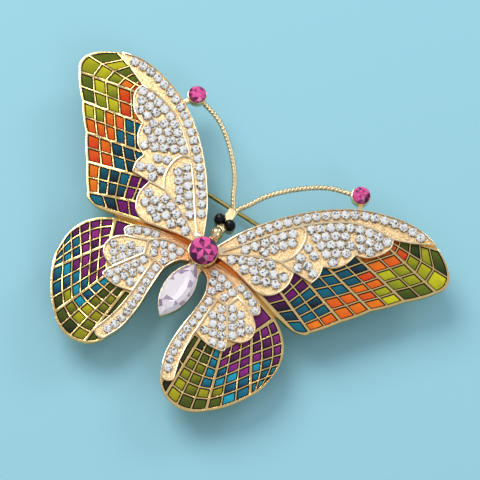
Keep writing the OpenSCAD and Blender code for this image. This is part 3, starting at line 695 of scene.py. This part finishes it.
def pointed_ring(count, length, width, z, offset=0.0):
    """Corners on an outline of two arcs, evenly spaced from tip to tip."""
    arc = (length * length + width * width) / (2 * width)
    corners = []
    for k in range(count):
        t = (k + offset) / count * 2
        way = 1 if t < 1 else -1
        y = length * (1 - 2 * (t % 1)) * way
        x = way * (math.sqrt(max(arc * arc - y * y, 0)) - (arc - width))
        corners.append(Vector((x, y, z)))
    return corners


bpy.ops.object.select_all(action="DESELECT")
bpy.ops.mesh.primitive_circle_add(vertices=100, radius=half_w)
marquise = bpy.context.object
marquise.name = "marquise_gem"
height = high.z - low.z
rings = [
    pointed_ring(20, half_l, half_w, 0.48 * height),
    pointed_ring(20, half_l, half_w, 0.42 * height),
    pointed_ring(20, half_l * 0.82, half_w * 0.80, 0.80 * height, 0.5),
    pointed_ring(10, half_l * 0.66, half_w * 0.52, 1.0 * height),
    pointed_ring(20, half_l * 0.5, half_w * 0.2, 0.2 * height, 0.5),
    pointed_ring(10, half_l * 0.2, half_w * 0.08, 0.18 * height),
]
corners = [c for ring in rings for c in ring]
for vertex, corner in zip(marquise.data.vertices, corners):
    vertex.co = corner
bpy.ops.object.mode_set(mode="EDIT")
bpy.ops.mesh.select_all(action="SELECT")
bpy.ops.mesh.convex_hull()
bpy.ops.mesh.select_all(action="SELECT")
bpy.ops.mesh.dissolve_limited(angle_limit=math.radians(1))
bpy.ops.mesh.select_all(action="SELECT")
bpy.ops.mesh.normals_make_consistent(inside=False)
bpy.ops.object.mode_set(mode="OBJECT")
cut = marquise.data.attributes.new("cut", "INT", "FACE")
for poly in marquise.data.polygons:
    poly.material_index = 1 if poly.center.z < 0.41 * height else 0
    cut.data[poly.index].value = TABLE if poly.normal.z > 0.99 else KITE
marquise.data.transform(Matrix.Translation(((low.x + high.x) / 2, (low.y + high.y) / 2, low.z)))
marquise.data.materials.append(pale_glass)
marquise.data.materials.append(pale_foil)
paint_facet_light(marquise, random.Random(8))
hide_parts("marquise_stone")
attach(marquise, "brooch")


# ---- Antennae ----------------------------------------------------------------------------------
# Three wires twisted into a rope and plated, bent in a wide arc from the neck to the outer stones.
STRAND_R = 0.29 * MM
STRAND_OUT = 0.28 * MM
TURN_L = 2.4 * MM
STEPS_PER_TURN = 12
ROPE_BENDS = [
    (0.57, 10.9), (0.57, 11.5), (1.7, 13.3), (3.5, 16.6), (6.3, 20), (9.7, 23.1), (13.1, 25.3), (17.1, 26.55),
]
rope_gold = gold_finish("rope_gold", colour(255, 244, 216), colour(248, 226, 180), 0.25, 0.3, 0.004)
low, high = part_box("antenna_right")
rope_z = (low.z + high.z) / 2
stone_low, stone_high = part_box("centre_stone")
centre_y = (stone_low.y + stone_high.y) / 2
for side, way in (("left", -1), ("right", 1)):
    bends = [Vector((way * x * MM, centre_y + y * MM, rope_z)) for x, y in ROPE_BENDS]
    line = bpy.data.curves.new("rope_line", "CURVE")
    line.dimensions = "3D"
    line.resolution_u = 24
    spline = line.splines.new("BEZIER")
    spline.bezier_points.add(len(bends) - 1)
    for i, point in enumerate(spline.bezier_points):
        lean = (bends[min(i + 1, len(bends) - 1)] - bends[max(i - 1, 0)]) / 6
        point.co = bends[i]
        point.handle_left = bends[i] - lean
        point.handle_right = bends[i] + lean
    guide = bpy.data.objects.new("rope_line", line)
    scene.collection.objects.link(guide)
    length = spline.calc_length()
    bpy.ops.object.select_all(action="DESELECT")
    bpy.ops.mesh.primitive_circle_add(vertices=8, radius=STRAND_R, location=(0, 0, 0))
    rope = bpy.context.object
    rope.name = f"feeler_{side}"
    steps = math.ceil(length / TURN_L * STEPS_PER_TURN)
    step_turn = 2 * math.pi / STEPS_PER_TURN
    bpy.ops.object.mode_set(mode="EDIT")
    bpy.ops.mesh.select_all(action="SELECT")
    bpy.ops.transform.rotate(value=math.pi / 2, orient_axis="Y", center_override=(0, 0, 0))
    bpy.ops.transform.translate(value=(0, STRAND_OUT, 0))
    bpy.ops.mesh.edge_face_add()
    for k in range(steps):
        bpy.ops.mesh.extrude_region_move(TRANSFORM_OT_translate={"value": (length / steps, 0, 0)})
        bpy.ops.transform.rotate(value=step_turn, orient_axis="X", center_override=(0, 0, 0))
    bpy.ops.mesh.select_all(action="SELECT")
    for k in range(2):
        bpy.ops.mesh.duplicate()
        bpy.ops.transform.rotate(value=math.pi * 2 / 3, orient_axis="X", center_override=(0, 0, 0))
    bpy.ops.mesh.select_all(action="SELECT")
    bpy.ops.mesh.normals_make_consistent(inside=False)
    bpy.ops.object.mode_set(mode="OBJECT")
    bend = rope.modifiers.new("bend", "CURVE")
    bend.object = guide
    bend.deform_axis = "POS_X"
    bpy.ops.object.modifier_apply(modifier=bend.name)
    bpy.data.objects.remove(guide)
    smoothed(rope, 60)
    rope.data.materials.append(rope_gold)
    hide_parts(f"antenna_{side}")
    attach(rope, "brooch")


# ---- Pin, hinge and catch ----------------------------------------------------------------------
# Plain drawn and stamped findings with a thin, slightly green gold plating, soldered to the back.
fittings_gold = gold_finish("fittings_gold", colour(214, 196, 132), colour(188, 164, 96), 0.22, 0.5, 0.002)
FITTING_BODIES = {
    "hinge_base": "brooch", "hinge_rivet": "brooch", "catch_ring": "brooch", "pin_stem": "pin",
    "catch_sleeve": "catch",
}
for node, body in FITTING_BODIES.items():
    fitting = reworked(node, f"{node}_polished")
    rounded(fitting, 0.04 * MM)
    fitting.data.materials.append(fittings_gold)
    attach(fitting, body)
